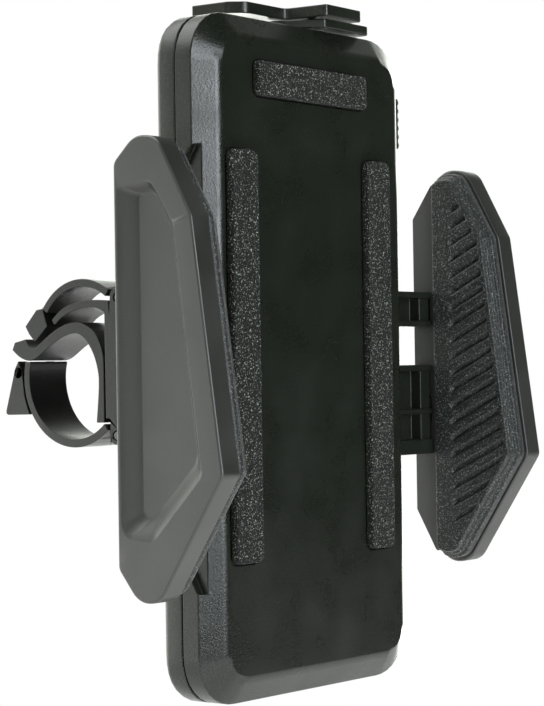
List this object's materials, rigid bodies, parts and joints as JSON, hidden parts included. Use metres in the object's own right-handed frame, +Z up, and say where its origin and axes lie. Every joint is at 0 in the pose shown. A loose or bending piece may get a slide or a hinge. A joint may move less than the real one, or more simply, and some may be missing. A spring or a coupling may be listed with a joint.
{
  "type": "phone handlebar mount",
  "caption": "Phone cradle with two sliding spring jaws on a ball joint, carried by a hinged ring clamp for a handlebar.",
  "frame": {"origin": "centre of the case's flat front face, where the phone's back goes", "axes": "-Y out of the front face towards the rider, +Y to the handlebar, +Z up along the phone, +X to the cradle's right side"},
  "size_m": [0.12, 0.1179, 0.1583],
  "materials": {
    "case_plastic": "fine-textured black ABS",
    "jaw_plastic": "matt dark grey moulded plastic",
    "joint_plastic": "satin black nylon",
    "clamp_plastic": "satin dark nylon",
    "rubber": "soft matt rubber",
    "foam": "coarse open-cell foam",
    "steel": "zinc-plated steel",
    "dark_steel": "black-oxide steel"
  },
  "bodies": {
    "clamp": {"clamp_saddle": "clamp_plastic", "grip_tongue": "clamp_plastic", "ball_stud": "joint_plastic", "stud_screw": "steel", "upper_band_pin": "dark_steel", "lower_band_pin": "dark_steel"},
    "upper_band": {"upper_band": "clamp_plastic"},
    "lower_band": {"lower_band": "clamp_plastic", "lever_pin": "dark_steel"},
    "latch_lever": {"latch_lever": "clamp_plastic"},
    "ball_seat": {"ball_seat": "rubber"},
    "cradle": {"front_shell": "case_plastic", "rear_shell": "case_plastic", "foam_top": "foam", "foam_left": "foam", "foam_right": "foam", "tab_base": "case_plastic", "tab_screw": "dark_steel", "case_screw_1": "steel", "case_screw_2": "steel", "case_screw_3": "steel", "case_screw_4": "steel", "pinion_screw": "steel", "pawl_pin": "steel", "button_spring": "steel", "left_jaw_spring": "steel", "right_jaw_spring": "steel", "ball_socket": "joint_plastic", "socket_screw_1": "steel", "socket_screw_2": "steel", "socket_screw_3": "steel", "socket_screw_4": "steel"},
    "lock_collar": {"lock_collar": "joint_plastic"},
    "stop_tab": {"stop_tab": "case_plastic"},
    "right_jaw": {"right_jaw_shell": "jaw_plastic", "right_jaw_pad": "rubber", "right_upper_arm": "case_plastic", "right_lower_arm": "case_plastic", "right_upper_arm_screw": "steel", "right_lower_arm_screw": "steel"},
    "left_jaw": {"left_jaw_shell": "jaw_plastic", "left_jaw_pad": "rubber", "left_upper_arm": "case_plastic", "left_lower_arm": "case_plastic", "left_upper_arm_screw": "steel", "left_lower_arm_screw": "steel"},
    "pinion": {"pinion": "steel"},
    "release_button": {"release_button": "case_plastic"},
    "latch_pawl": {"latch_pawl": "steel"}
  },
  "joints": [
    {"name": "cradle_tilt", "type": "hinge", "parent": "clamp", "child": "ball_seat", "pos_m": [0, 0.029, 0], "axis": [1, 0, 0], "range_deg": [-20, 20]},
    {"name": "cradle_spin", "type": "hinge", "parent": "ball_seat", "child": "cradle", "pos_m": [0, 0.029, 0], "axis": [0, 1, 0], "continuous": true},
    {"name": "collar_turn", "type": "hinge", "parent": "cradle", "child": "lock_collar", "pos_m": [0, 0.029, 0], "axis": [0, 1, 0], "range_deg": [0, 90]},
    {"name": "right_jaw_slide", "type": "slide", "parent": "cradle", "child": "right_jaw", "axis": [-1, 0, 0], "range_m": [0, 0.013], "stiffness_N_per_m": 120, "springref_m": -0.012, "deforming": ["right_jaw_spring"]},
    {"name": "left_jaw_slide", "type": "slide", "parent": "cradle", "child": "left_jaw", "axis": [1, 0, 0], "range_m": [0, 0.013], "deforming": ["left_jaw_spring"]},
    {"name": "pinion_spin", "type": "hinge", "parent": "cradle", "child": "pinion", "pos_m": [0, 0.0055, 0], "axis": [0, 1, 0], "range_deg": [0, 190]},
    {"name": "button_press", "type": "slide", "parent": "cradle", "child": "release_button", "axis": [-1, 0, 0], "range_m": [0, 0.0022], "stiffness_N_per_m": 400, "springref_m": -0.002, "deforming": ["button_spring"]},
    {"name": "pawl_turn", "type": "hinge", "parent": "cradle", "child": "latch_pawl", "pos_m": [0.019, 0.0054, 0.035], "axis": [0, 1, 0], "range_deg": [-8, 0]},
    {"name": "tab_swivel", "type": "hinge", "parent": "cradle", "child": "stop_tab", "pos_m": [0.0082, 0.0062, 0.0792], "axis": [0, 0, 1], "range_deg": [-50, 90]},
    {"name": "upper_band_lift", "type": "hinge", "parent": "clamp", "child": "upper_band", "pos_m": [0, 0.0564, 0.0156], "axis": [1, 0, 0], "range_deg": [0, 25]},
    {"name": "lower_band_swing", "type": "hinge", "parent": "clamp", "child": "lower_band", "pos_m": [0, 0.0572, -0.0182], "axis": [-1, 0, 0], "range_deg": [0, 70]},
    {"name": "lever_swing", "type": "hinge", "parent": "lower_band", "child": "latch_lever", "pos_m": [0, 0.091, -0.0024], "axis": [1, 0, 0], "range_deg": [0, 35]}
  ],
  "couplings": [
    {"joint": "left_jaw_slide", "follows": "right_jaw_slide", "ratio": 1},
    {"joint": "pinion_spin", "follows": "right_jaw_slide", "rad_per_m": 250},
    {"joint": "pawl_turn", "follows": "button_press", "rad_per_m": -58.8}
  ]
}
